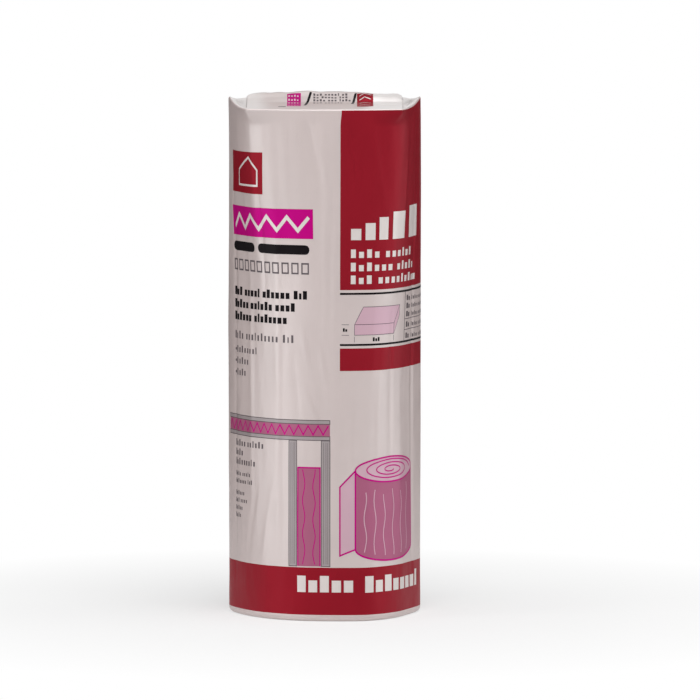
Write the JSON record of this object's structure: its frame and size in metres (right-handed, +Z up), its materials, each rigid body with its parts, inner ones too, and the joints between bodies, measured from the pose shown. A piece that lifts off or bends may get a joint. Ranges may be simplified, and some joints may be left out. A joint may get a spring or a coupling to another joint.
{
  "type": "bagged roll of unfaced insulation batt",
  "caption": "Upright roll of unfaced glass wool batt closed in a printed film bag with a folded and heat-sealed top, standing on its flat end.",
  "frame": {"origin": "middle of the base, on the floor", "axes": "+Z up along the roll, -Y out of the printed front, +X to the viewer's right"},
  "size_m": [0.154, 0.1524, 0.4189],
  "materials": {
    "film": "semi-gloss polythene film, pinkish white with dark red print",
    "wool": "matt pink glass wool, unfaced"
  },
  "bodies": {
    "root": {"film_bag": "film", "batt_roll": "wool"}
  },
  "joints": []
}
